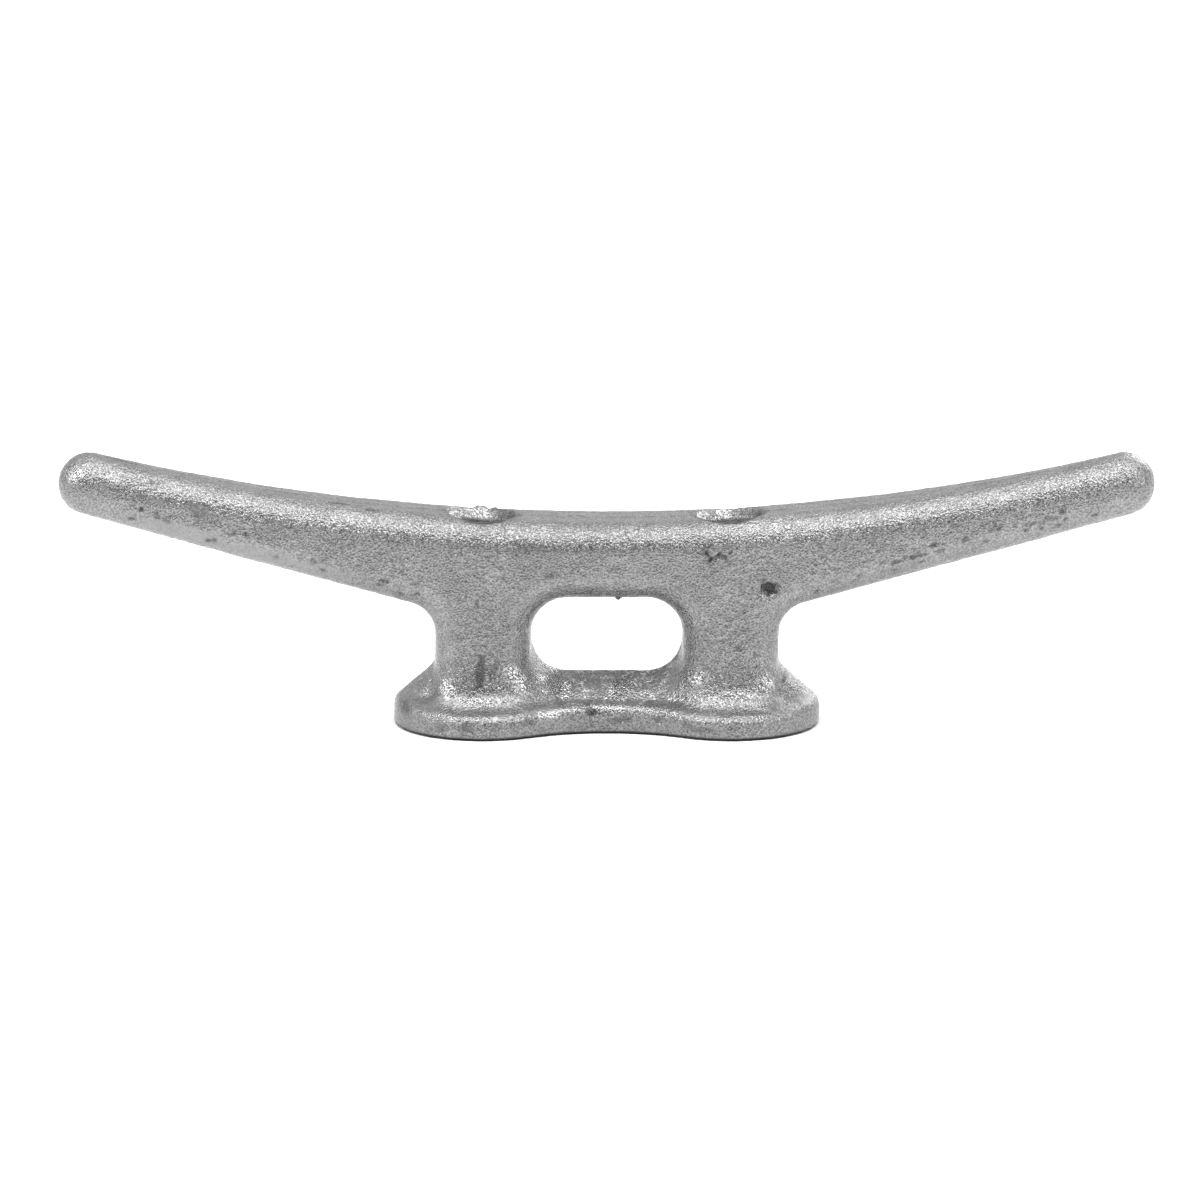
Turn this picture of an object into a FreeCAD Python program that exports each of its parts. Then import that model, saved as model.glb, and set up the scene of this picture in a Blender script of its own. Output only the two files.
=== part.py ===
"""Open-base horn cleat for tying up a boat: one galvanised iron casting.

Two horns leave a crossbar, the crossbar stands on two legs, and the legs stand on
a base whose outline is two round lobes joined by a waist.  A rope's eye passes
through the slot between the legs.  A countersunk bolt goes down through each leg.

The frame is in millimetres.  X runs along the horns, Y across the base, Z up.
The origin is on the underside of the base, midway between the bolt holes.
The casting was moulded in two halves that met at the plane y = 0, so the surfaces
beside that plane slope away from it.
"""

import FreeCAD, Part
import math
import os

from FreeCAD import Vector

# Overall
length = 203.2  # horn tip to horn tip
height = 50.8  # deck to the top of the horn tips

# Horns and crossbar
tip_radius = 5.65
bar_thickness = 14.3  # top to bottom of the crossbar at mid-length
bar_half_depth = 9.8  # front to middle of the crossbar at mid-length
edge_round = 5.3  # front and back edges of the crossbar, horns and legs
tip_flat = 0.3  # least that the rounding leaves between the tip's two edges, halved

# Legs
bolt_spacing = 46.0
leg_width = 17.8
root_drop = 2.3  # how far a horn's underside meets its leg below the slot's top
throat_radius = 6.2  # between a horn's underside and the outside of its leg

# Ramp that stiffens the foot of each leg, part of a leaning round bar
ramp_height = 11.3  # deck to the top of the ramp, where it leaves the leg
ramp_end_height = 4.7  # deck to the ramp where it reaches the rim of the base
ramp_radius = 8.5
foot_round = 2.6  # between the ramp and the leg

# Slot between the legs
slot_bottom = 9.8  # deck to the slot's floor along y = 0
slot_height = 14.8
slot_end_straight = 1.0  # upright part of the slot's rounded ends
tie_slope = 0.62  # fall of the slot's floor from y = 0 to front and back

# Base
lobe_radius = 16.5
waist_half_width = 10.1
base_middle = 5.6  # thickness along y = 0
base_edge = 4.3  # thickness at the front and back of the lobes
rim_round = 1.7  # upper edge of the base
junction_round = 1.8  # where the legs and the tie between them meet the base

# Bolt holes, for two flat-head bolts
bolt_diameter = 6.35
bolt_clearance = 0.4  # on the radius
head_diameter = 12.9
head_clearance = 0.15  # on the radius
countersink_angle = 82.0

# Places that follow from the sizes above
bolt_x = bolt_spacing / 2
leg_inner = bolt_x - leg_width / 2
leg_outer = bolt_x + leg_width / 2
slot_top = slot_bottom + slot_height
bar_top = slot_top + bar_thickness
tip_x = length / 2 - tip_radius
tip_z = height - tip_radius
base_end = bolt_x + lobe_radius
hole_radius = bolt_diameter / 2 + bolt_clearance
mouth_radius = head_diameter / 2 + head_clearance

# Reach of the solids that are trimmed later
tall = 4 * height
root_depth = 10.0  # the upright is built down to this far below the deck
flare_depth = bar_half_depth + 2.0
plan_inset = 0.4  # the upright is trimmed this far inside the rim of the base

MIRROR_X = Vector(1, 0, 0)
MIRROR_Y = Vector(0, 1, 0)


def at(x, z, y=0.0):
    """A point given by its place in the XZ plane, and its depth."""
    return Vector(x, y, z)


def arc_through(first, middle, last):
    """A circular arc as an edge."""
    return Part.Arc(first, middle, last).toShape()


def closed_wire(edges):
    """One closed wire from edges given in any order."""
    return Part.Wire(Part.__sortEdges__(edges))


def polygon(points):
    """The straight edges that join points in order."""
    return [Part.makeLine(a, b) for a, b in zip(points, points[1:])]


def mirrored(shape, normal):
    """The shape's mirror image in a plane through the origin."""
    return shape.mirror(Vector(0, 0, 0), normal)


def corner(before, apex, after, radius):
    """Start, middle and end of the arc that rounds the corner at a point."""
    back = (before - apex).normalize()
    ahead = (after - apex).normalize()
    half = math.acos(back.dot(ahead)) / 2
    reach = radius / math.tan(half)
    centre = apex + (back + ahead).normalize() * (radius / math.sin(half))
    middle = centre + (apex - centre).normalize() * radius
    return apex + back * reach, middle, apex + ahead * reach


def top_radius():
    """Radius of the hollow top, which is tangent to the round tips."""
    rise = tip_z - bar_top
    return (tip_x**2 + rise**2 - tip_radius**2) / (2 * (rise + tip_radius))


def top_line():
    """Hollow top of the +X half, and the point where it meets the tip."""
    radius = top_radius()
    centre = at(0, bar_top + radius)
    towards_tip = (at(tip_x, tip_z) - centre).normalize()
    half_angle = math.atan2(towards_tip.x, -towards_tip.z) / 2
    middle = centre + at(math.sin(half_angle), -math.cos(half_angle)) * radius
    end = centre + towards_tip * radius
    return arc_through(at(0, bar_top), middle, end), end


def horn_underside():
    """Root of the +X horn's straight underside, its end at the tip, and its heading."""
    root = at(leg_outer, slot_top - root_drop)
    reach = at(tip_x, tip_z) - root
    heading = math.atan2(reach.z, reach.x) - math.asin(tip_radius / reach.Length)
    run = math.sqrt(reach.Length**2 - tip_radius**2)
    end = root + at(math.cos(heading), math.sin(heading)) * run
    return root, end, heading


def upright_outline():
    """Outline of crossbar, horns and legs, without the slot."""
    top, top_end = top_line()
    root, tip_start, heading = horn_underside()
    tip_middle = at(tip_x, tip_z) + at(math.cos(heading), math.sin(heading)) * tip_radius
    leg_end = at(leg_outer, -root_depth)
    throat = corner(tip_start, root, leg_end, throat_radius)
    right = [
        top,
        arc_through(top_end, tip_middle, tip_start),
        Part.makeLine(tip_start, throat[0]),
        arc_through(*throat),
    ]
    right += polygon([throat[2], leg_end, at(0, -root_depth)])
    left = [mirrored(edge, MIRROR_X) for edge in right]
    return closed_wire(right + left)


def slot_outline(depth):
    """The slot at one depth in front of y = 0: a rectangle with round corners."""
    bottom = slot_bottom - tie_slope * depth
    radius = (slot_height - slot_end_straight) / 2
    turn = leg_inner - radius
    right = []
    for level, side in ((bottom, 1), (slot_top, -1)):
        centre = at(turn, level + side * radius, -depth)
        diagonal = radius * math.sqrt(0.5)
        right.append(arc_through(
            centre + at(0, -side * radius),
            centre + at(diagonal, -side * diagonal),
            centre + at(radius, 0),
        ))
    right += polygon([at(leg_inner, bottom + radius, -depth),
                      at(leg_inner, slot_top - radius, -depth)])
    left = [mirrored(edge, MIRROR_X) for edge in right]
    level = [
        Part.makeLine(at(-turn, z, -depth), at(turn, z, -depth))
        for z in (bottom, slot_top)
    ]
    return closed_wire(right + left + level)


def slot():
    """The slot, whose floor falls away from y = 0 to the front and the back."""
    outlines = [slot_outline(0.0), slot_outline(flare_depth)]
    front = Part.makeLoft(outlines, True, True)
    return front, mirrored(front, MIRROR_Y)


def depth_lens():
    """The upright is where two upright drums overlap, thickest at mid-length."""
    taper = bar_half_depth - tip_radius
    radius = ((length / 2) ** 2 + taper**2) / (2 * taper)
    centre = Vector(0, radius - bar_half_depth, -tall)
    front = Part.makeCylinder(radius, 2 * tall, centre)
    return front.common(mirrored(front, MIRROR_Y))


def face_edges(solid):
    """The upright's front and back edges, without those of its buried bottom."""
    found = []
    for edge in solid.Edges:
        first, last = edge.Vertexes[0].Point, edge.Vertexes[-1].Point
        on_face = min(abs(first.y), abs(last.y)) > tip_radius * 0.99
        same_face = first.y * last.y > 0
        buried = max(first.z, last.z) < 0.01 - root_depth
        if on_face and same_face and not buried:
            found.append(edge)
    return found


def upright():
    """Crossbar, horns, legs and the tie between the legs, with rounded edges."""
    block = Part.Face(upright_outline()).extrude(Vector(0, 2 * tall, 0))
    block.translate(Vector(0, -tall, 0))
    block = block.common(depth_lens())
    for cut in slot():
        block = block.cut(cut)
    return block.makeFillet(min(edge_round, tip_radius - tip_flat), face_edges(block))


def ramp():
    """The leaning round bar whose upper side is the ramp outside the +X leg."""
    high = at(leg_outer, ramp_height)
    low = at(base_end, ramp_end_height)
    along = (low - high).normalize()
    below = at(along.z, -along.x) * ramp_radius
    start = high + below - along * (ramp_radius / 2)
    return Part.makeCylinder(ramp_radius, 3 * ramp_radius, start, along)


def plan_outline(inset):
    """Two round lobes and a waist, tangent to each other, moved in by inset."""
    lobe = lobe_radius - inset
    half_waist = waist_half_width - inset
    waist_radius = (bolt_x**2 + half_waist**2 - lobe**2) / (2 * (lobe - half_waist))
    waist_centre = Vector(0, half_waist + waist_radius, 0)
    lobe_centre = Vector(bolt_x, 0, 0)
    joint = lobe_centre + (waist_centre - lobe_centre).normalize() * lobe
    quarter = [
        arc_through(mirrored_point(joint), Vector(0, half_waist, 0), joint),
        arc_through(joint, Vector(bolt_x + lobe, 0, 0), Vector(joint.x, -joint.y, 0)),
    ]
    far = [mirrored(quarter[0], MIRROR_Y), mirrored(quarter[1], MIRROR_X)]
    return Part.Face(closed_wire(quarter + far))


def mirrored_point(point):
    """The point's mirror image in the plane x = 0."""
    return Vector(-point.x, point.y, point.z)


def base():
    """The base plate, a little thicker along its middle, with a rounded rim."""
    fall = base_middle - base_edge
    crown_radius = (lobe_radius**2 + fall**2) / (2 * fall)
    centre = Vector(0, 0, base_middle - crown_radius)
    start = centre - Vector(length / 2, 0, 0)
    crown = Part.makeCylinder(crown_radius, length, start, Vector(1, 0, 0))
    crown.rotate(centre, Vector(1, 0, 0), 180)  # takes its seam off the plate
    plate = plan_outline(0.0).extrude(Vector(0, 0, height)).common(crown)
    rim = [edge for edge in plate.Edges if edge.BoundBox.ZMin > base_edge / 2]
    return plate.makeFillet(rim_round, rim)


def bolt_hole():
    """Space for the +X bolt and its flat head, which sits level with the top."""
    radius = top_radius()
    mouth_z = bar_top + radius - math.sqrt(radius**2 - bolt_x**2)
    cone_depth = (mouth_radius - hole_radius) / math.tan(math.radians(countersink_angle / 2))
    cone_z = mouth_z - cone_depth
    shank = Part.makeCylinder(hole_radius, 2 * height, Vector(bolt_x, 0, -height))
    cone = Part.makeCone(hole_radius, mouth_radius, cone_depth, Vector(bolt_x, 0, cone_z))
    mouth = Part.makeCylinder(mouth_radius, height, Vector(bolt_x, 0, mouth_z))
    return shank.fuse([cone, mouth])


def middle_point(edge):
    """The point halfway along an edge."""
    return edge.valueAt((edge.FirstParameter + edge.LastParameter) / 2)


def upright_on_base():
    """The upright and its ramps, trimmed to the sole and inside the base's rim."""
    bar = ramp()
    body = upright().fuse([bar, mirrored(bar, MIRROR_X)])
    rise = ramp_height + foot_round + 1.0
    corner_point = Vector(-length, -lobe_radius, rise)
    above = Part.makeBox(2 * length, 2 * lobe_radius, height, corner_point)
    body = body.common(plan_outline(plan_inset).extrude(Vector(0, 0, rise)).fuse(above))
    feet = [edge for edge in body.Edges if is_foot(edge)]
    return body.makeFillet(foot_round, feet)


def is_foot(edge):
    """Whether an edge is where a ramp meets the outside of its leg."""
    point = middle_point(edge)
    beside_leg = leg_outer - edge_round - 0.2 < abs(point.x) < leg_outer + 0.01
    off_sole = point.z > 0.01 and edge.BoundBox.ZMax < ramp_height + 0.1
    return beside_leg and off_sole and abs(point.y) < lobe_radius / 2 + 1


def is_junction(edge):
    """Whether an edge is where the upright meets the top of the base."""
    point = middle_point(edge)
    on_top = edge.BoundBox.ZMin > base_middle - 0.5 and edge.BoundBox.ZMax < base_middle
    off_sole_rim = math.hypot(abs(point.x) - bolt_x, point.y) > leg_width / 2 + 0.9
    return on_top and off_sole_rim


def casting():
    """The finished casting."""
    body = base().fuse(upright_on_base()).removeSplitter()
    junction = [edge for edge in body.Edges if is_junction(edge)]
    body = body.makeFillet(junction_round, junction)
    hole = bolt_hole()
    return body.cut(hole).cut(mirrored(hole, MIRROR_X))


def main():
    """Build the casting and write it."""
    os.makedirs("parts", exist_ok=True)
    [solid] = casting().Solids
    solid.exportStep("parts/cleat_casting.step")


main()
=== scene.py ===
"""Open-base horn cleat for tying up a boat, standing in a pale studio.

The cleat is one iron casting, dipped whole in molten zinc.  Its skin is built on the
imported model's own surface: the sharp lines are softened as a sand mould leaves them,
and then the sand's grain, the seam of the mould, runs of zinc and small casting
faults are pressed into the mesh.  Lengths inside the classes are in millimetres.
"""

from __future__ import annotations

import logging
import math
from dataclasses import dataclass
from enum import Enum

import bpy
import numpy as np
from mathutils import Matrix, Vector


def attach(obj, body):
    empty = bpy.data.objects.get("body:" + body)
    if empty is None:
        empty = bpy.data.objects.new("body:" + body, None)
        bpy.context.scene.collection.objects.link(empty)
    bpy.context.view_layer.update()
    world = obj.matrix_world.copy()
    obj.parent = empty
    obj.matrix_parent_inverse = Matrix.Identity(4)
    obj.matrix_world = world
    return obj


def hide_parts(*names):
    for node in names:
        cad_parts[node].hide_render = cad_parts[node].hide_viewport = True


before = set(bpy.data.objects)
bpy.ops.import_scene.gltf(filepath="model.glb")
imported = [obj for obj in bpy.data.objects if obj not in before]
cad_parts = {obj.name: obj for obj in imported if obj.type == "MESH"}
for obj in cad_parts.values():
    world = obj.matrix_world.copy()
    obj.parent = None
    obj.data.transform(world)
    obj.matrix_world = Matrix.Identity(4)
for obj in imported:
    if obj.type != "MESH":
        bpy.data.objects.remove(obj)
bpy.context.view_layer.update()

MM = 0.001
LATTICE = 512  # how many cells Grain's noise runs before it repeats
NOISE_GAIN = 1.7  # brings nearly all of Grain's noise between -1 and 1
OUTLINE_WOBBLE = 0.35  # how far a mark's outline strays, over its reach
PITS_PER_HORN = 26
PITS_PER_MIDDLE = 34
TINY = 1e-6  # keeps a length off zero
FAINT = 0.01  # weights below this are left out
LOG = logging.getLogger("cleat")


def linear(colour: str) -> tuple[float, float, float, float]:
    """Turn an sRGB hex colour into linear light.

    Args:
        colour: The colour as "#rrggbb".

    Returns:
        Linear red, green and blue, and an alpha of 1.
    """
    parts = [int(colour[i : i + 2], 16) / 255 for i in (1, 3, 5)]
    light = [p / 12.92 if p <= 0.04045 else ((p + 0.055) / 1.055) ** 2.4 for p in parts]
    return (light[0], light[1], light[2], 1.0)


def add_node(
    tree: bpy.types.NodeTree,
    kind: str,
    settings: dict[str | int, object] | None = None,
    links: dict[str | int, bpy.types.NodeSocket] | None = None,
) -> bpy.types.Node:
    """Add a node, set it up and link its inputs.

    Args:
        tree: The node tree that gets the node.
        kind: The node's Blender type name.
        settings: Values by name; a number, or a name that is no property, is an input.
        links: Output sockets to link, by the name or number of the input they feed.

    Returns:
        The new node.
    """
    node = tree.nodes.new(kind)
    for name, value in (settings or {}).items():
        if isinstance(name, str) and name in node.bl_rna.properties:
            setattr(node, name, value)
        else:
            node.inputs[name].default_value = value
    for socket, source in (links or {}).items():
        tree.links.new(source, node.inputs[socket])
    return node


def smooth_step(value: np.ndarray, low: float, high: float) -> np.ndarray:
    """Ease from 0 at low to 1 at high.

    Args:
        value: The values to ease.
        low: Where the result is 0.
        high: Where the result is 1.

    Returns:
        Values from 0 to 1.
    """
    t = np.clip((value - low) / (high - low), 0.0, 1.0)
    return t * t * (3 - 2 * t)


@dataclass(frozen=True)
class Grain:
    """Seeded smooth noise that fills space.

    Attributes:
        seed: Picks the pattern.
        size: Distance between the lattice points, about half a bump's length.
    """

    seed: int
    size: float

    def at(self, points: np.ndarray) -> np.ndarray:
        """Work out the noise.

        Args:
            points: Places in space, one row each.

        Returns:
            One value for each point, nearly all between -1 and 1.
        """
        random = np.random.default_rng(self.seed)
        order = random.permutation(LATTICE)
        slopes = random.normal(size=(LATTICE, 3))
        slopes /= np.linalg.norm(slopes, axis=1, keepdims=True)
        place = points / self.size + random.uniform(0, 50, 3)
        cell = np.floor(place).astype(np.int64)
        within = place - cell
        fade = within**3 * (within * (within * 6 - 15) + 10)
        total = np.zeros(len(points))
        for corner in np.ndindex(2, 2, 2):
            step = np.array(corner)
            key = (cell + step) % LATTICE
            row = order[(order[key[:, 0]] + key[:, 1]) % LATTICE]
            index = order[(row + key[:, 2]) % LATTICE]
            weight = np.prod(np.where(step == 1, fade, 1 - fade), axis=1)
            total += weight * np.einsum("ij,ij->i", slopes[index], within - step)
        return total * NOISE_GAIN


class Side(Enum):
    """The face of the cleat that a mark is on, by the way the face looks."""

    FRONT = (0.0, -1.0, 0.0)
    BACK = (0.0, 1.0, 0.0)
    TOP = (0.0, 0.0, 1.0)
    UNDER = (0.0, 0.0, -1.0)


@dataclass(frozen=True)
class Mark:
    """A small dent or lump in the casting, or a patch of soot, painted shade or painted
    highlight.

    Attributes:
        side: The face that it is on.
        place: Its centre, as the two coordinates that lie in that face.
        reach: Its half-length and half-width.
        depth: How far it sinks in, or stands out if negative.
        turn: Angle of its long way in degrees, from the first coordinate.
        soot_and_shade: How dark it is, with soot or painted shade, from 0 to 1.
        pooled: How thick the zinc lies on it, from 0 to 1.
        painted_highlight: How strong its painted highlight is, from 0 to 1.
        edge: How steep its wall is, from 0 for a soft dish to 1 for a cliff.
    """

    side: Side
    place: tuple[float, float]
    reach: tuple[float, float]
    depth: float
    turn: float = 0.0
    soot_and_shade: float = 0.0
    pooled: float = 0.0
    painted_highlight: float = 0.0
    edge: float = 0.5

    def weight(
        self,
        points: np.ndarray,
        normals: np.ndarray,
        wobble: np.ndarray,
    ) -> np.ndarray:
        """Work out how strongly each point belongs to the mark.

        Args:
            points: Places on the casting.
            normals: The surface's direction at each.
            wobble: Noise that makes the mark's outline uneven.

        Returns:
            Values from 0 outside to 1 in the middle.
        """
        look = np.array(self.side.value)
        axes = [i for i in range(3) if look[i] == 0]
        across = points[:, axes] - np.array(self.place)
        angle = math.radians(self.turn)
        along = across @ np.array([math.cos(angle), math.sin(angle)]) / self.reach[0]
        aside = across @ np.array([-math.sin(angle), math.cos(angle)]) / self.reach[1]
        distance = np.hypot(along, aside) + OUTLINE_WOBBLE * wobble
        facing = smooth_step(normals @ look, 0.0, 0.3)
        return facing * (1 - smooth_step(distance, self.edge * 0.8, 1.15))


@dataclass(frozen=True)
class GalvanisedIron:
    """Grey iron cast in sand, then hot-dip galvanised.

    The zinc freezes over the sand's grain as a thin, wrinkled skin.  To the eye it is
    a satin grey metal: where it faces a light it breaks the light into hundreds of
    separate glints, and elsewhere it is an even grey with a fine darker grain.  Where
    zinc ran and pooled it is smoother and duller.  The mesh says where zinc pooled,
    where soot lies, and where highlights, glints and shade are painted into the colour.

    Attributes:
        dull: Weathered zinc, low in the grain.
        bright: Zinc on the high spots.
        pooled: Thick zinc that has oxidised to a plain, matt skin.
        painted_highlight: Painted highlight: the near-white colour laid where highlights
            and glints are painted.
        soot_and_shade: Ash and oxide in streaks and stains, the darkened pits, and painted
            shade along the sole and elsewhere.
        metal: How metallic the skin is; its oxide makes up the rest.
        pooled_metal: The same for the pooled zinc.
        roughness: Roughness of the wrinkled zinc.
        pooled_roughness: Roughness of the pooled zinc.
        cloud_mm: Distance between paler and darker areas.
        mottle_mm: Distance between the blotches that the sand left.
        grit_mm: Width of one wrinkle.  Real ones are half as wide, too fine to show.
        wrinkle_mm: Height of the wrinkles.
        noise_range: The noise that counts as lowest and as highest.
        shares: How much the clouds, the mottle and the grit count in the colour.
        fleck_range: The grit at which the painted highlight starts to show, and shows
            fully.
        mottle_height: Height of the mottle, over the wrinkles'.
        drowned: How much of the wrinkles is left where zinc has pooled.
    """

    dull: str = "#656565"
    bright: str = "#9a9a9a"
    pooled: str = "#8a8a8a"
    painted_highlight: str = "#e0e0e0"
    soot_and_shade: str = "#2c2c2c"
    metal: float = 0.88
    pooled_metal: float = 0.35
    roughness: float = 0.24
    pooled_roughness: float = 0.42
    cloud_mm: float = 7.0
    mottle_mm: float = 1.4
    grit_mm: float = 0.36
    wrinkle_mm: float = 0.24
    noise_range: tuple[float, float] = (0.38, 0.62)
    shares: tuple[float, float, float] = (0.16, 0.10, 0.74)
    fleck_range: tuple[float, float] = (0.44, 0.58)
    mottle_height: float = 0.8
    drowned: float = 0.4

    def build(self) -> bpy.types.Material:
        """Make the material.

        Returns:
            The material, with its nodes.
        """
        material = bpy.data.materials.new("galvanised_iron")
        material.use_nodes = True
        tree = material.node_tree
        tree.nodes.clear()
        place = add_node(tree, "ShaderNodeTexCoord").outputs["Object"]
        noises = []
        for length, detail in (
            (self.cloud_mm, 3.0),
            (self.mottle_mm, 2.0),
            (self.grit_mm, 1.5),
        ):
            noise = add_node(
                tree,
                "ShaderNodeTexNoise",
                {"Scale": 1 / (length * MM), "Detail": detail, "Roughness": 0.55},
                {"Vector": place},
            )
            noises.append(noise.outputs["Fac"])
        # Pooled zinc, painted highlight, and soot with painted shade, as the mesh stores
        # them
        painted_highlight, pooled, soot_and_shade_mask = (
            add_node(tree, "ShaderNodeAttribute", {"attribute_name": name}).outputs["Fac"]
            for name in ("painted_highlight", "pooled", "soot_and_shade")
        )
        # The grit breaks the painted highlight into painted glints
        flecks = add_node(
            tree,
            "ShaderNodeMapRange",
            dict(zip(("From Min", "From Max"), self.fleck_range)),
            {"Value": noises[2]},
        ).outputs["Result"]
        painted_highlight = add_node(
            tree, "ShaderNodeMath", {"operation": "MULTIPLY"}, {0: painted_highlight, 1: flecks}
        ).outputs["Value"]
        coats = ((pooled, self.pooled), (painted_highlight, self.painted_highlight), (soot_and_shade_mask, self.soot_and_shade))
        colour = self._colour(tree, noises, coats)
        rough, metallic = (
            add_node(
                tree,
                "ShaderNodeMapRange",
                {"To Min": thin, "To Max": thick},
                {"Value": pooled},
            ).outputs["Result"]
            for thin, thick in (
                (self.roughness, self.pooled_roughness),
                (self.metal, self.pooled_metal),
            )
        )
        shader = add_node(
            tree,
            "ShaderNodeBsdfPrincipled",
            links={
                "Base Color": colour,
                "Metallic": metallic,
                "Roughness": rough,
                "Normal": self._relief(tree, noises, pooled),
            },
        )
        add_node(
            tree,
            "ShaderNodeOutputMaterial",
            links={"Surface": shader.outputs["BSDF"]},
        )
        return material

    def _colour(
        self,
        tree: bpy.types.NodeTree,
        noises: list[bpy.types.NodeSocket],
        coats: tuple[tuple[bpy.types.NodeSocket, str], ...],
    ) -> bpy.types.NodeSocket:
        """Mix the colour.

        Args:
            tree: The node tree that gets the nodes.
            noises: The clouds, the mottle and the grit.
            coats: How much of each coat lies over the zinc, and its colour: pooled zinc,
                painted highlight, and soot with painted shade.

        Returns:
            The mixed colour.
        """
        low, high = self.noise_range
        parts = [
            add_node(
                tree,
                "ShaderNodeMapRange",
                {"From Min": low, "From Max": high, "To Min": 0.0, "To Max": share},
                {"Value": noise},
            ).outputs["Result"]
            for noise, share in zip(noises, self.shares)
        ]
        tone = parts[0]
        for part in parts[1:]:
            tone = add_node(
                tree, "ShaderNodeMath", {"operation": "ADD"}, {0: tone, 1: part}
            ).outputs["Value"]
        colour = add_node(
            tree,
            "ShaderNodeMix",
            {"data_type": "RGBA", 6: linear(self.dull), 7: linear(self.bright)},
            {0: tone},
        ).outputs[2]
        for amount, coat in coats:
            colour = add_node(
                tree,
                "ShaderNodeMix",
                {"data_type": "RGBA", 7: linear(coat)},
                {0: amount, 6: colour},
            ).outputs[2]
        return colour

    def _relief(
        self,
        tree: bpy.types.NodeTree,
        noises: list[bpy.types.NodeSocket],
        pooled: bpy.types.NodeSocket,
    ) -> bpy.types.NodeSocket:
        """Wrinkle the surface.

        Args:
            tree: The node tree that gets the nodes.
            noises: The clouds, the mottle and the grit.
            pooled: How thick the zinc lies, which drowns the wrinkles.

        Returns:
            The wrinkled surface's direction.
        """
        height = add_node(
            tree,
            "ShaderNodeMath",
            {"operation": "MULTIPLY_ADD", 1: self.mottle_height},
            {0: noises[1], 2: noises[2]},
        ).outputs["Value"]
        strength = add_node(
            tree,
            "ShaderNodeMapRange",
            {"To Min": 1.0, "To Max": self.drowned},
            {"Value": pooled},
        ).outputs["Result"]
        return add_node(
            tree,
            "ShaderNodeBump",
            {"Distance": self.wrinkle_mm * MM},
            {"Height": height, "Strength": strength},
        ).outputs["Normal"]


def read_points(mesh: bpy.types.Mesh, what: str = "co") -> np.ndarray:
    """Read a mesh's vertices.

    Args:
        mesh: The mesh.
        what: "co" for places in millimetres, or "normal" for directions.

    Returns:
        One row for each vertex.
    """
    flat = np.empty(len(mesh.vertices) * 3, np.float32)
    mesh.vertices.foreach_get(what, flat)
    rows = flat.reshape(-1, 3).astype(float)
    return rows / MM if what == "co" else rows


def write_points(mesh: bpy.types.Mesh, points: np.ndarray) -> None:
    """Move a mesh's vertices.

    Args:
        mesh: The mesh.
        points: Their places in millimetres, one row each.
    """
    mesh.vertices.foreach_set("co", (points * MM).astype(np.float32).ravel())
    mesh.update()


def finished_mesh(piece: bpy.types.Object) -> None:
    """Apply every modifier of a piece.

    Args:
        piece: The piece, which keeps the result as its own mesh.
    """
    graph = bpy.context.evaluated_depsgraph_get()
    mesh = bpy.data.meshes.new_from_object(piece.evaluated_get(graph))
    piece.modifiers.clear()
    piece.data = mesh
    mesh.polygons.foreach_set("use_smooth", [True] * len(mesh.polygons))


@dataclass
class Skin:
    """The casting's surface while it is worked on, with one row for each vertex.

    Attributes:
        points: Places in millimetres.
        normals: The surface's direction at each.
        lift: How far each moves out.
        soot_and_shade: How much soot or painted shade lies on each, from 0 to 1.
        pooled: How thick the zinc lies on each, from 0 to 1.
        painted_highlight: How much painted highlight lies on each, from 0 to 1.
    """

    points: np.ndarray
    normals: np.ndarray
    lift: np.ndarray
    soot_and_shade: np.ndarray
    pooled: np.ndarray
    painted_highlight: np.ndarray

    @classmethod
    def of(cls, mesh: bpy.types.Mesh) -> Skin:
        """Read a mesh.

        Args:
            mesh: The mesh.

        Returns:
            Its surface, not lifted and with nothing on it.
        """
        nothing = np.zeros((4, len(mesh.vertices)))
        return cls(read_points(mesh), read_points(mesh, "normal"), *nothing)

    def cover(
        self,
        weight: np.ndarray,
        soot_and_shade: float | np.ndarray = 0.0,
        pooled: float | np.ndarray = 0.0,
        painted_highlight: float | np.ndarray = 0.0,
    ) -> None:
        """Cover the surface, where nothing thicker lies on it yet.

        Args:
            weight: How strongly each point is covered, from 0 to 1.
            soot_and_shade: How much soot or painted shade it gets.
            pooled: How thick its zinc gets.
            painted_highlight: How much painted highlight it gets.
        """
        self.soot_and_shade = np.maximum(self.soot_and_shade, soot_and_shade * weight)
        self.pooled = np.maximum(self.pooled, pooled * weight)
        self.painted_highlight = np.maximum(self.painted_highlight, painted_highlight * weight)

    def press(self, mark: Mark, wobble: np.ndarray) -> None:
        """Press a mark into the surface.

        Args:
            mark: The mark.
            wobble: Noise that makes the mark's outline uneven.
        """
        weight = mark.weight(self.points, self.normals, wobble)
        self.lift -= mark.depth * weight
        self.cover(weight, mark.soot_and_shade, mark.pooled, mark.painted_highlight)

    def write(self, mesh: bpy.types.Mesh) -> None:
        """Move the mesh's vertices out, and store what lies on them.

        Args:
            mesh: The mesh, whose sole stays on the deck.
        """
        moved = self.points + self.normals * self.lift[:, None]
        moved[:, 2] = np.maximum(moved[:, 2], 0.0)
        write_points(mesh, moved)
        coats = {"soot_and_shade": self.soot_and_shade, "pooled": self.pooled, "painted_highlight": self.painted_highlight}
        for name, values in coats.items():
            layer = mesh.attributes.new(name, "FLOAT", "POINT")
            layer.data.foreach_set("value", np.clip(values, 0, 1).astype(np.float32))


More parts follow.
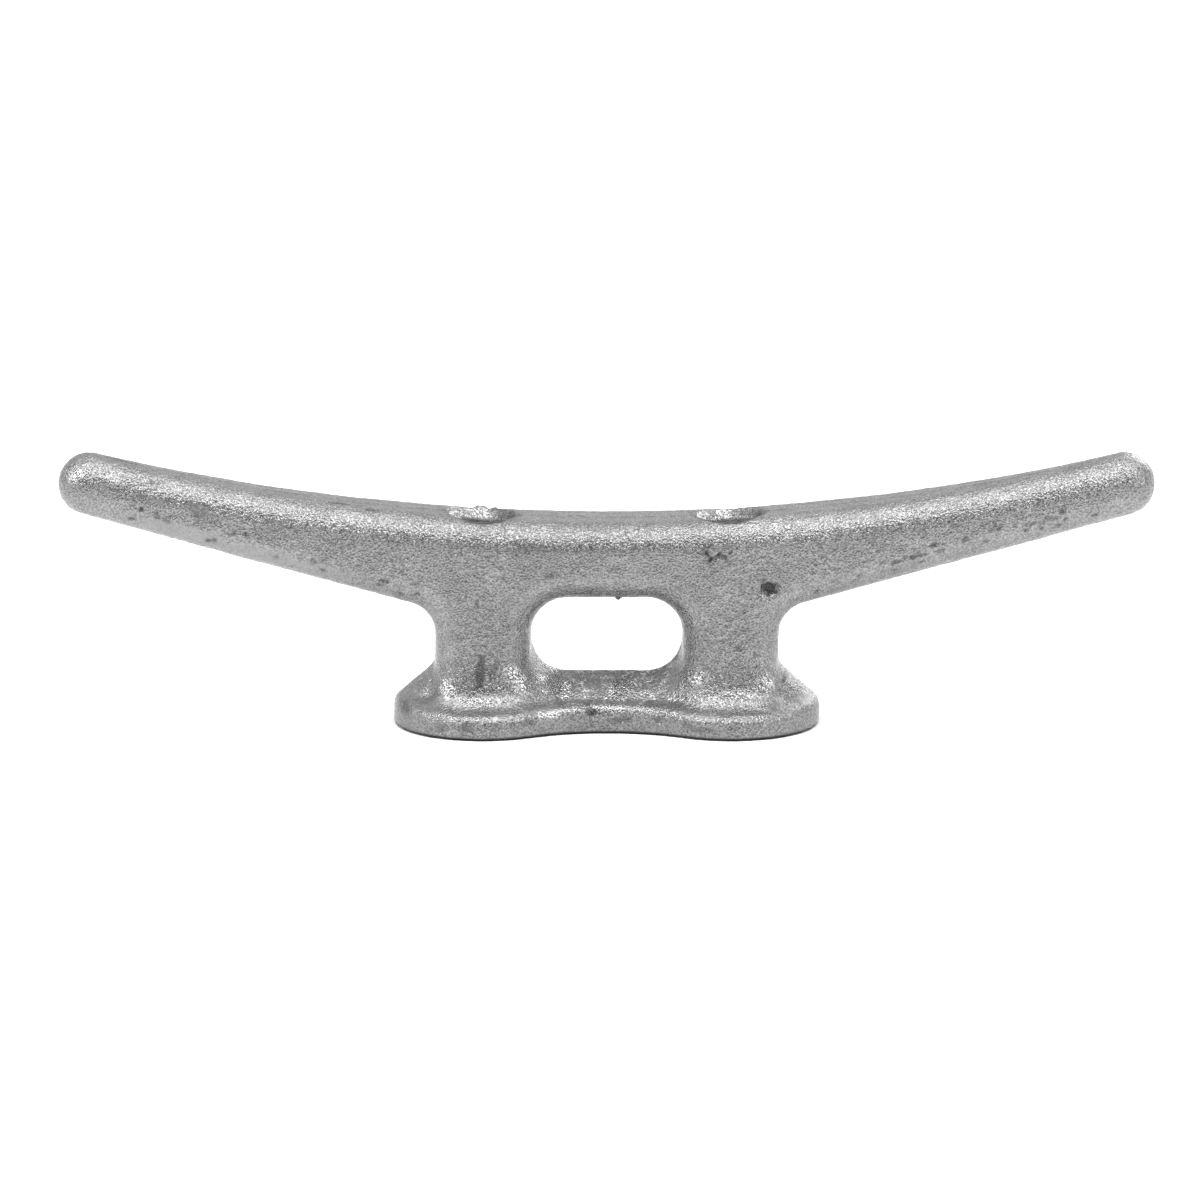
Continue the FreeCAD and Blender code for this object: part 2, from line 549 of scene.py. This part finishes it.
@dataclass
class CleatCasting:
    """The cleat's whole body: base, legs, tie, crossbar and horns in one casting.

    Attributes:
        node: The CAD node that it stands for.
        body: The CAD body that it rides on.
        slot: The material slot that its finish belongs to; not used.
        mesh_size: Width of the mesh's faces.
        soften_steps: Smoothing passes over the whole skin.
        foot_low: Height of the rim of the base, where the feet's smoothing starts.
        foot_high: Height on the legs where it ends.
        foot_ease: How gradually it starts and ends.
        foot_steps: Extra smoothing passes over the feet.
        waist_share: How much of them the base gets between the legs.
        foot_reach: How far the feet's hollow reaches out from the legs.
        foot_rise: How far it reaches up.
        leg_half_width: Half of a leg's width.
        leg_half_depth: Half of a leg's depth.
        leg_round: Radius of a leg's corners, seen from above.
        base_middle: Thickness of the base along its middle.
        crown_radius: Radius of the base's rounded top, seen from the end.
        top_radius: Radius of the line along the top of the crossbar.
        horn_root: Where the underside of a horn starts, out from the middle and up.
        horn_slope: How steeply it climbs.
        horn_reach: How far out from the middle its pits go.
        bolt_x: How far each bolt hole is from the middle.
        mouth_radius: Radius of the countersinks' mouths.
        bar_top: Height of the crossbar's top at the middle.
        leg_inner: How far the legs' inner sides are from the middle.
        leg_blend: How far from them the look of the tie fades.
        slot_bottom: Height of the slot's floor.
        tie_depth: Half of the tie's depth.
        tie_swell: How far the tie's top swells.
        seam_height: Height of the ridge where the halves of the mould met.
        seam_width: Half of its width.
        seam_drift: How far it strays to either side.
        sole_shadow: Heights between which the painted contact shadow above the deck fades.
        waves: The pattern's unevenness, as heights and noises.
        sand: The sand's grain, as heights and noises.
        sand_drowned: How much of the sand's grain thick zinc fills.
        outlines: Noise that makes the marks' outlines uneven.
        drifting: Noise that the seam strays by.
        breaking: Noise that breaks the seam's height up.
        walls: Noise that divides painted glints from painted shade on the countersinks'
            walls.
        glints: Noise that breaks the painted highlight there into painted glints.
        ledges: Noise in the zinc's thickness on the ledges.
        patches: Noise that places the patches of painted glints there.
        pit_seed: Places the pits.
        marks: The single marks.
    """

    node: str = "cleat_casting"
    body: str = "root"
    slot: str = "galvanised_iron"
    mesh_size: float = 0.4
    soften_steps: int = 3
    foot_low: float = 3.6
    foot_high: float = 14.0
    foot_ease: tuple[float, float] = (0.8, 2.0)
    foot_steps: int = 48
    waist_share: float = 0.4
    foot_reach: float = 3.8
    foot_rise: float = 7.0
    leg_half_width: float = 8.9
    leg_half_depth: float = 9.8
    leg_round: float = 5.3
    base_middle: float = 5.6
    crown_radius: float = 105.4
    top_radius: float = 387.0
    horn_root: tuple[float, float] = (34.0, 23.5)
    horn_slope: float = 0.272
    horn_reach: float = 92.0
    bolt_x: float = 23.0
    mouth_radius: float = 6.6
    bar_top: float = 38.9
    leg_inner: float = 14.1
    leg_blend: float = 6.0
    slot_bottom: float = 9.8
    tie_depth: float = 7.5
    tie_swell: float = 0.45
    seam_height: float = 0.16
    seam_width: float = 0.55
    seam_drift: float = 0.5
    sole_shadow: tuple[float, float] = (0.2, 0.6)
    waves: tuple[tuple[float, Grain], ...] = (
        (0.09, Grain(1, 14.0)),
        (0.035, Grain(2, 3.2)),
    )
    sand: tuple[tuple[float, Grain], ...] = (
        (0.06, Grain(3, 1.1)),
        (0.04, Grain(4, 0.7)),
    )
    sand_drowned: float = 0.7
    outlines: Grain = Grain(5, 0.8)
    drifting: Grain = Grain(6, 9.0)
    breaking: Grain = Grain(7, 3.0)
    walls: Grain = Grain(8, 2.2)
    glints: Grain = Grain(14, 0.8)
    ledges: Grain = Grain(9, 4.0)
    patches: Grain = Grain(13, 1.6)
    pit_seed: int = 11
    marks: tuple[Mark, ...] = (
        # Blow hole low on the crossbar, over the right leg
        Mark(Side.FRONT, (30.0, 27.0), (2.1, 1.5), 0.9, soot_and_shade=0.9, edge=0.6),
        Mark(Side.FRONT, (29.0, 28.8), (0.8, 0.5), 0.3, soot_and_shade=0.6),
        # Dross streaks between the slot and the right hole
        Mark(Side.FRONT, (18.4, 33.9), (0.9, 0.45), 0.25, -50.0, soot_and_shade=1.0),
        Mark(Side.FRONT, (19.2, 32.7), (1.1, 0.45), 0.25, 35.0, soot_and_shade=1.0),
        Mark(Side.FRONT, (20.6, 33.5), (1.0, 0.42), 0.25, 62.0, soot_and_shade=0.9),
        Mark(Side.FRONT, (21.8, 33.2), (0.8, 0.42), 0.20, -42.0, soot_and_shade=0.9),
        Mark(Side.FRONT, (22.8, 34.0), (0.8, 0.40), 0.20, 48.0, soot_and_shade=0.8),
        # Broken lines of dross along the right horn
        Mark(Side.FRONT, (53.6, 32.0), (1.6, 0.42), 0.15, 14.0, soot_and_shade=0.6),
        Mark(Side.FRONT, (57.4, 33.1), (2.2, 0.42), 0.15, 12.0, soot_and_shade=0.65),
        Mark(Side.FRONT, (61.6, 34.0), (1.5, 0.42), 0.15, 8.0, soot_and_shade=0.6),
        Mark(Side.FRONT, (71.7, 38.9), (0.9, 0.42), 0.15, -60.0, soot_and_shade=0.7),
        Mark(Side.FRONT, (78.4, 38.9), (2.0, 0.40), 0.15, 10.0, soot_and_shade=0.5),
        Mark(Side.FRONT, (83.0, 40.0), (1.4, 0.40), 0.15, 16.0, soot_and_shade=0.5),
        # Stain down the left leg
        Mark(Side.FRONT, (-23.4, 11.2), (3.3, 0.95), 0.12, 86.0, soot_and_shade=0.62, edge=1.1),
        Mark(Side.FRONT, (-21.0, 11.6), (2.4, 0.65), 0.10, 72.0, soot_and_shade=0.5, edge=0.9),
        Mark(Side.FRONT, (-23.6, 7.8), (4.2, 0.8), 0.05, 0.0, soot_and_shade=0.35, edge=0.8),
        # Dents and stains in the rim of the base
        Mark(Side.FRONT, (-2.8, 4.0), (1.3, 1.0), 0.25, soot_and_shade=0.8),
        Mark(Side.FRONT, (2.6, 2.6), (3.0, 0.6), 0.12, 4.0, soot_and_shade=0.5),
        Mark(Side.FRONT, (-26.0, 2.2), (1.8, 1.0), 0.10, soot_and_shade=0.45),
        Mark(Side.FRONT, (-30.6, 2.2), (1.3, 1.0), 0.08, 0.0, soot_and_shade=0.35),
        Mark(Side.FRONT, (-14.5, 2.9), (2.4, 0.6), 0.10, 5.0, soot_and_shade=0.35),
        Mark(Side.FRONT, (9.6, 3.0), (1.2, 0.8), 0.10, 0.0, soot_and_shade=0.45),
        Mark(Side.FRONT, (17.4, 1.8), (3.6, 0.8), 0.08, 0.0, soot_and_shade=0.35),
        Mark(Side.FRONT, (15.0, 2.4), (1.6, 0.6), 0.10, -8.0, soot_and_shade=0.45),
        Mark(Side.FRONT, (-37.5, 4.0), (1.2, 1.8), 0.10, 20.0, soot_and_shade=0.45),
        # Scratches across the right ramp
        Mark(Side.FRONT, (33.4, 9.6), (1.9, 0.42), 0.25, 62.0, soot_and_shade=0.6),
        Mark(Side.FRONT, (35.1, 9.2), (1.5, 0.40), 0.20, 58.0, soot_and_shade=0.5),
        # Nick across the top of the left tip
        Mark(Side.TOP, (-90.4, -0.4), (0.7, 3.0), 0.35, 82.0, soot_and_shade=0.5),
        Mark(Side.FRONT, (-83.6, 46.4), (1.8, 0.55), 0.15, -6.0, soot_and_shade=0.3),
        # Painted shade over the crossbar's shoulder, dimming its highlight, and a painted
        # dark reflection in the line under it
        Mark(Side.FRONT, (-2.0, 37.4), (32.0, 2.8), 0.0, 0.0, soot_and_shade=0.15, edge=0.2),
        Mark(Side.FRONT, (-6.0, 34.9), (36.0, 1.3), 0.0, 0.0, soot_and_shade=0.22, edge=0.2),
        # Rough spots low on the crossbar
        Mark(Side.FRONT, (-10.2, 30.0), (1.6, 0.9), 0.15, 15.0, soot_and_shade=0.4, edge=0.3),
        Mark(Side.FRONT, (-23.9, 24.2), (0.5, 1.0), 0.15, 10.0, soot_and_shade=0.5),
        # Painted highlights and glints where the legs' fronts spread into the base, on the
        # rim and at the tip
        Mark(Side.FRONT, (-16.7, 9.9), (3.9, 1.8), -0.3, -52.0, painted_highlight=1.0, edge=0.3),
        Mark(Side.FRONT, (-29.5, 8.2), (1.7, 2.2), -0.3, 0.0, painted_highlight=0.8, edge=0.3),
        Mark(Side.FRONT, (16.9, 9.7), (2.0, 1.6), -0.3, 30.0, painted_highlight=0.8, edge=0.3),
        Mark(Side.FRONT, (29.7, 9.1), (1.9, 1.8), -0.3, 0.0, painted_highlight=0.8, edge=0.3),
        Mark(Side.FRONT, (25.4, 7.2), (4.6, 0.8), -0.1, -6.0, painted_highlight=0.35, edge=0.3),
        Mark(Side.FRONT, (-22.0, 6.4), (7.0, 0.5), -0.1, 0.0, painted_highlight=0.3, edge=0.3),
        Mark(Side.FRONT, (-9.6, 3.9), (3.6, 0.9), -0.1, 6.0, painted_highlight=0.7, edge=0.3),
        Mark(Side.FRONT, (1.4, 4.6), (3.0, 0.7), -0.1, -4.0, painted_highlight=0.5, edge=0.3),
        Mark(Side.FRONT, (-98.2, 47.2), (1.8, 1.8), -0.05, 0.0, painted_highlight=0.8, edge=0.2),
        # Zinc that ran down the left horn and pooled along its underside
        Mark(Side.FRONT, (-78.0, 37.0), (8.5, 1.8), -0.10, -15.0, pooled=0.60, edge=1.1),
        Mark(Side.FRONT, (-64.0, 33.2), (8.0, 1.6), -0.06, -15.0, pooled=0.55, edge=1.0),
        Mark(Side.FRONT, (-53.0, 30.2), (7.0, 1.4), -0.05, -15.0, pooled=0.45, edge=0.9),
        # Bald, darker hollow above it, where the zinc drew away
        Mark(
            Side.FRONT,
            (-75.5, 41.6),
            (3.0, 1.2),
            0.10,
            -12.0,
            soot_and_shade=0.12,
            pooled=0.25,
            edge=0.6,
        ),
        # Tears beside the seam, on top of the left horn
        Mark(Side.TOP, (-49.6, -3.4), (2.4, 0.6), 0.22, 3.0, soot_and_shade=0.8),
        Mark(Side.TOP, (-43.6, -5.0), (2.0, 0.5), 0.20, -4.0, soot_and_shade=0.7),
        # Lumps of zinc on the far rim of the left hole
        Mark(Side.TOP, (-23.6, 6.9), (1.5, 0.7), -0.55, 0.0, edge=0.6),
        Mark(Side.TOP, (-20.8, 6.4), (0.7, 0.5), -0.35, 0.0, edge=0.6),
        # Drip and flash under the crossbar
        Mark(Side.UNDER, (2.1, -5.4), (0.5, 1.2), -0.5, 0.0, soot_and_shade=0.4, edge=0.6),
        # Pale bead at the middle of the crossbar
        Mark(Side.FRONT, (-2.4, 36.4), (0.6, 0.9), -0.12, 0.0, edge=0.5),
        Mark(Side.FRONT, (-0.9, 36.2), (0.45, 0.8), -0.10, 0.0, edge=0.5),
    )

    def build(self) -> bpy.types.Object:
        """Build the casting's skin in place of the plain CAD node.

        Returns:
            The finished piece.
        """
        piece = self._net()
        self._spread_feet(piece)
        self._soften(piece)
        self._roughen(piece)
        piece.data.materials.clear()
        piece.data.materials.append(GalvanisedIron().build())
        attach(piece, self.body)
        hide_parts(self.node)
        return piece

    def _net(self) -> bpy.types.Object:
        """Lay an even mesh over the CAD surface.

        Returns:
            The new piece, still with the CAD's smooth faces.
        """
        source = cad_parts[self.node]
        piece = bpy.data.objects.new("galvanised_cleat", source.data.copy())
        bpy.context.scene.collection.objects.link(piece)
        net = piece.modifiers.new("net", "REMESH")
        net.mode = "VOXEL"
        net.voxel_size = self.mesh_size * MM
        onto = piece.modifiers.new("onto", "SHRINKWRAP")
        onto.target = source
        onto.wrap_method = "NEAREST_SURFACEPOINT"
        finished_mesh(piece)
        return piece

    def _spread_feet(self, piece: bpy.types.Object) -> None:
        """Let the front and back of each leg spread into the base in a long hollow.

        The corner between them is pushed out to a quarter ellipse, which starts
        foot_rise above the base and ends foot_reach in front of the leg.

        Args:
            piece: The skin.
        """
        points = read_points(piece.data)
        x, y = np.abs(points[:, 0]) - self.bolt_x, np.abs(points[:, 1])
        out = np.column_stack([np.abs(x) - self.leg_half_width, y - self.leg_half_depth])
        out = np.maximum(out + self.leg_round, TINY)
        away = out / np.linalg.norm(out, axis=1, keepdims=True)
        gap = 1 - (np.linalg.norm(out, axis=1) - self.leg_round) / self.foot_reach
        crown = self.base_middle - y**2 / (2 * self.crown_radius)
        rise = 1 - (points[:, 2] - crown) / self.foot_rise
        pull = 1 - 1 / np.maximum(np.hypot(gap, rise), 1)
        # Fades out at the rim, inside the leg, under the base's top and at the sides
        pull *= smooth_step(gap, 0.0, 0.3) * (1 - smooth_step(gap, 1.08, 1.2))
        pull *= (rise > 0) * (1 - smooth_step(rise, 1.02, 1.12))
        pull *= smooth_step(away[:, 1], 0.25, 0.75)
        shift = (pull * gap * self.foot_reach)[:, None] * away
        points[:, 0] += shift[:, 0] * np.sign(x) * np.sign(points[:, 0])
        points[:, 1] += shift[:, 1] * np.sign(points[:, 1])
        points[:, 2] += pull * rise * self.foot_rise
        write_points(piece.data, points)

    def _soften(self, piece: bpy.types.Object) -> None:
        """Blur the lines where surfaces meet, as sand and zinc do.

        Args:
            piece: The skin.
        """
        points = read_points(piece.data)
        side, height = np.abs(points[:, 0]), points[:, 2]
        start, end = self.foot_ease
        foot = smooth_step(height, self.foot_low - start, self.foot_low + start)
        foot *= 1 - smooth_step(height, self.foot_high - end, self.foot_high + end)
        legs = smooth_step(side, self.leg_inner - self.leg_blend, self.leg_inner + 2)
        foot *= self.waist_share + (1 - self.waist_share) * legs
        group = piece.vertex_groups.new(name="foot")
        for i in np.flatnonzero(foot > FAINT):
            group.add([int(i)], float(foot[i]), "REPLACE")
        for name, steps in (("", self.soften_steps), ("foot", self.foot_steps)):
            soften = piece.modifiers.new("soften", "SMOOTH")
            soften.factor = 0.5
            soften.iterations = steps
            soften.vertex_group = name
        finished_mesh(piece)
        piece.vertex_groups.clear()

    def _roughen(self, piece: bpy.types.Object) -> None:
        """Press the casting's grain, seam and marks into the mesh, and lay on soot, painted
        shade and painted highlights.

        Args:
            piece: The skin.
        """
        skin = Skin.of(piece.data)
        skin.lift += self._bumps(skin, self.waves)
        skin.lift += self._tie_swelling(skin) + self._seam(skin)
        sand = self._bumps(skin, self.sand)
        wobble = self.outlines.at(skin.points)
        for mark in self.marks + self._pits():
            skin.press(mark, wobble)
        self._paint_hole_shade_and_glints(skin)
        self._dress_ledges(skin)
        height = skin.points[:, 2]
        # Painted contact shadow: the soot colour along the foot of the sole, fading out
        # above the deck
        skin.cover(1 - smooth_step(height, *self.sole_shadow), soot_and_shade=1.0)

        # The flat sole keeps to the deck
        on_sole = smooth_step(-skin.normals[:, 2], 0.8, 0.95) * (height < 0.3)
        skin.lift += sand * (1 - self.sand_drowned * skin.pooled)
        skin.lift *= 1 - on_sole
        skin.write(piece.data)
        LOG.info("casting has %d faces", len(piece.data.polygons))

    def _bumps(self, skin: Skin, sizes: tuple[tuple[float, Grain], ...]) -> np.ndarray:
        """Add up noises of several sizes.

        Args:
            skin: The casting's surface.
            sizes: The height of each noise, and the noise.

        Returns:
            How far each point moves out.
        """
        return sum(height * grain.at(skin.points) for height, grain in sizes)

    def _tie_swelling(self, skin: Skin) -> np.ndarray:
        """Round the front and back halves of the tie's top, as on a cast bar.

        Args:
            skin: The casting's surface.

        Returns:
            How far each point moves out.
        """
        x, y, z = skin.points.T
        side = np.abs(x)
        across = np.clip(np.abs(y) / self.tie_depth, 0, 1)
        between = 1 - smooth_step(side, self.leg_inner - self.leg_blend, self.leg_inner)
        # Nothing higher than the tie, and nothing that faces sideways
        low = 1 - smooth_step(z, self.slot_bottom + 0.5, self.slot_bottom + 2)
        upward = smooth_step(skin.normals[:, 2], 0.1, 0.5)
        return self.tie_swell * np.sin(math.pi * across) * between * low * upward

    def _seam(self, skin: Skin) -> np.ndarray:
        """Raise the thin, uneven ridge where the halves of the mould met.

        Args:
            skin: The casting's surface.

        Returns:
            How far each point moves out.
        """
        drift = self.seam_drift * self.drifting.at(skin.points)
        ridge = np.exp(-(((skin.points[:, 1] - drift) / self.seam_width) ** 2))
        uneven = 0.55 + 0.45 * self.breaking.at(skin.points)
        return self.seam_height * ridge * uneven

    def _pits(self) -> tuple[Mark, ...]:
        """Scatter small pits where gas came out of the sand.

        Returns:
            The pits.
        """
        random = np.random.default_rng(self.pit_seed)
        root_x, root_z = self.horn_root
        pits = []
        for side in (Side.FRONT, Side.BACK):
            # Drawn-out ones low on the horns
            for way in (-1, 1):
                for _ in range(PITS_PER_HORN):
                    x = random.uniform(root_x, self.horn_reach)
                    underside = root_z + (x - root_x) * self.horn_slope
                    z = underside + random.uniform(0.8, 5.0)
                    reach = (random.uniform(0.5, 1.0), random.uniform(0.38, 0.5))
                    tilt = way * random.normal(18, 15)
                    dark = random.uniform(0.4, 0.85)
                    pits.append(Mark(side, (way * x, z), reach, 0.16, tilt, soot_and_shade=dark))
            # Small, shallow ones on the legs and the crossbar
            for _ in range(PITS_PER_MIDDLE):
                place = (random.uniform(-30, 30), random.uniform(9, 36))
                reach = (random.uniform(0.4, 0.7), random.uniform(0.35, 0.45))
                dark = random.uniform(0.3, 0.7)
                tilt = random.uniform(0, 180)
                pits.append(Mark(side, place, reach, 0.12, tilt, soot_and_shade=dark))
        return tuple(pits)

    def _dress_ledges(self, skin: Skin) -> None:
        """Thicken the zinc on what faces up low down, the tie and the base, and paint
        glints there.

        Args:
            skin: The casting's surface.
        """
        side, height = np.abs(skin.points[:, 0]), skin.points[:, 2]
        ledge = smooth_step(skin.normals[:, 2], 0.25, 0.7)
        ledge *= 1 - smooth_step(height, self.slot_bottom + 1, self.slot_bottom + 3)
        skin.cover(ledge, pooled=0.15 + 0.3 * self.ledges.at(skin.points))
        # Patches of painted glints, mostly on the tie
        patches = smooth_step(self.patches.at(skin.points), 0.0, 0.6)
        patches *= 1 - 0.75 * smooth_step(side, self.leg_inner - 2, self.leg_inner)
        skin.cover(ledge * patches, painted_highlight=0.7)

    def _paint_hole_shade_and_glints(self, skin: Skin) -> None:
        """Paint shade on the countersinks' front lips, deep inside and on one side of their
        walls, and glints on the other.

        Args:
            skin: The casting's surface.
        """
        x, y, z = skin.points.T
        uneven = self.walls.at(skin.points)
        flecks = smooth_step(self.glints.at(skin.points), -0.3, 0.3)
        lip_height = self.bar_top + x**2 / (2 * self.top_radius)
        # Painted shade, in the soot colour, fills everything from 1.5 to 2.5 mm below the
        # mouths
        shade = smooth_step(lip_height - z, 1.5, 2.5)
        for way in (-1, 1):
            across = x - way * self.bolt_x
            radius = np.hypot(across, y)
            inside = 1 - smooth_step(radius, self.mouth_radius - 0.5, self.mouth_radius)
            inside *= z > self.slot_bottom
            # Painted glints on one side of each wall, painted shade on the other
            painted_lit_wall = smooth_step(0.3 * y - across + 2.5 * uneven, 0.0, 1.5)
            painted_shaded_wall = (0.35 + 0.25 * flecks) * (1 - painted_lit_wall)
            skin.cover(inside, soot_and_shade=np.maximum(painted_shaded_wall, 0.95 * shade))
            skin.cover(inside * painted_lit_wall * flecks * (1 - shade), painted_highlight=0.8)
            # Painted shade along the front lip of each mouth
            painted_lip_shade = np.exp(-(((radius - self.mouth_radius) / 0.6) ** 2))
            painted_lip_shade *= smooth_step(z, self.bar_top - 4, self.bar_top - 3)
            skin.cover(painted_lip_shade * smooth_step(-y, -3, 3), soot_and_shade=0.95)


@dataclass(frozen=True)
class SoftBox:
    """A square of soft light that faces the cleat.

    Attributes:
        name: Its name.
        azimuth: Its direction in degrees, from the front towards the right.
        elevation: Its direction in degrees above the floor.
        distance: How far away it is, in metres.
        size: Its width, in metres.
        watts: Its power.
    """

    name: str
    azimuth: float
    elevation: float
    distance: float
    size: float
    watts: float

    def hang(self, target: Vector) -> None:
        """Hang the light.

        Args:
            target: The point that it faces.
        """
        data = bpy.data.lights.new(self.name, "AREA")
        data.shape = "SQUARE"
        data.size = self.size
        data.energy = self.watts
        lamp = bpy.data.objects.new(self.name, data)
        bpy.context.scene.collection.objects.link(lamp)
        a, e = math.radians(self.azimuth), math.radians(self.elevation)
        away = Vector((math.sin(a) * math.cos(e), -math.cos(a) * math.cos(e), math.sin(e)))
        lamp.location = target + away * self.distance
        lamp.rotation_mode = "QUATERNION"
        lamp.rotation_quaternion = away.to_track_quat("Z", "Y")


@dataclass
class Studio:
    """A pale floor, soft light and a long lens.

    The room is pale all round, apart from a dark patch behind the camera.  It gives
    the metal something dark to reflect.

    Attributes:
        floor_colour: The floor's colour.
        floor_half: Half of the floor's width, in metres.
        floor_drop: How far the floor lies under the sole, in metres.
        elevation: How far the camera looks down, in degrees.
        distance: How far away it is, in metres.
        framed_width: How much of the cleat's plane it sees, in metres.
        aim: The point at the middle of its view, in metres.
        room_light: Brightness of the room.
        dark_light: Brightness of the dark patch's middle.
        dark_elevation: Height of its middle, in degrees.
        dark_reach: How far it reaches, in degrees.
    """

    floor_colour: str = "#f7f7f7"
    floor_half: float = 6.0
    floor_drop: float = 0.0002
    elevation: float = 12.3
    distance: float = 1.5
    framed_width: float = 0.22315
    aim: tuple[float, float, float] = (-0.00125, 0.0, 0.0230)
    room_light: float = 0.95
    dark_light: float = 0.0
    dark_elevation: float = 8.0
    dark_reach: float = 50.0

    def build(self) -> None:
        """Lay the floor, hang the lights and set up the camera."""
        self._floor()
        self._room()
        target = Vector(self.aim)
        for lamp in (
            SoftBox("light_above", -5.0, 60.0, 0.9, 0.34, 3.0),
            SoftBox("light_top", 0.0, 85.0, 0.9, 0.8, 5.0),
            SoftBox("light_right", 60.0, 34.0, 0.9, 0.30, 2.4),
            SoftBox("light_left", -66.0, 38.0, 0.9, 0.26, 2.8),
            SoftBox("light_behind", 150.0, 20.0, 0.9, 0.4, 2.0),
        ):
            lamp.hang(target)
        self._camera(target)

    def _floor(self) -> None:
        """Lay a wide matt floor under the cleat."""
        mesh = bpy.data.meshes.new("floor")
        half = self.floor_half
        corners = [(-half, -half, 0), (half, -half, 0), (half, half, 0), (-half, half, 0)]
        mesh.from_pydata(corners, [], [(0, 1, 2, 3)])
        floor = bpy.data.objects.new("floor", mesh)
        bpy.context.scene.collection.objects.link(floor)
        material = bpy.data.materials.new("matt_paper")
        material.use_nodes = True
        shader = material.node_tree.nodes["Principled BSDF"]
        shader.inputs["Base Color"].default_value = linear(self.floor_colour)
        shader.inputs["Roughness"].default_value = 0.9
        shader.inputs["Specular IOR Level"].default_value = 0.0
        mesh.materials.append(material)
        floor.location.z = -self.floor_drop

    def _room(self) -> None:
        """Surround the cleat with a pale room."""
        world = bpy.data.worlds.new("room")
        bpy.context.scene.world = world
        world.use_nodes = True
        tree = world.node_tree
        tree.nodes.clear()
        direction = add_node(tree, "ShaderNodeTexCoord").outputs["Generated"]
        e = math.radians(self.dark_elevation)
        towards = add_node(
            tree,
            "ShaderNodeVectorMath",
            {"operation": "DOT_PRODUCT", 1: (0.0, -math.cos(e), math.sin(e))},
            {0: direction},
        )
        front = add_node(
            tree,
            "ShaderNodeMapRange",
            {
                "interpolation_type": "SMOOTHSTEP",
                "From Min": math.cos(math.radians(self.dark_reach)),
                "From Max": 1.0,
                "To Min": self.room_light,
                "To Max": self.dark_light,
            },
            {"Value": towards.outputs["Value"]},
        ).outputs["Result"]
        light = add_node(
            tree,
            "ShaderNodeBackground",
            {"Color": linear("#ffffff")},
            {"Strength": front},
        )
        add_node(tree, "ShaderNodeOutputWorld", links={"Surface": light.outputs[0]})

    def _camera(self, target: Vector) -> None:
        """Set up the camera.

        Args:
            target: The point at the middle of its view.
        """
        data = bpy.data.cameras.new("camera")
        data.sensor_width = 36.0
        data.lens = data.sensor_width * self.distance / self.framed_width
        data.clip_end = 50.0
        camera = bpy.data.objects.new("camera", data)
        bpy.context.scene.collection.objects.link(camera)
        e = math.radians(self.elevation)
        back = Vector((0.0, -math.cos(e), math.sin(e)))
        camera.location = target + back * self.distance
        camera.rotation_mode = "QUATERNION"
        camera.rotation_quaternion = back.to_track_quat("Z", "Y")
        bpy.context.scene.camera = camera


def main() -> None:
    """Build the cleat and its studio."""
    logging.basicConfig(level=logging.INFO)
    scene = bpy.context.scene
    scene.view_settings.view_transform = "Standard"
    cleat = CleatCasting().build()
    LOG.info("built %s", cleat.name)
    Studio().build()
    LOG.info("studio is set")


if __name__ == "__main__":
    main()
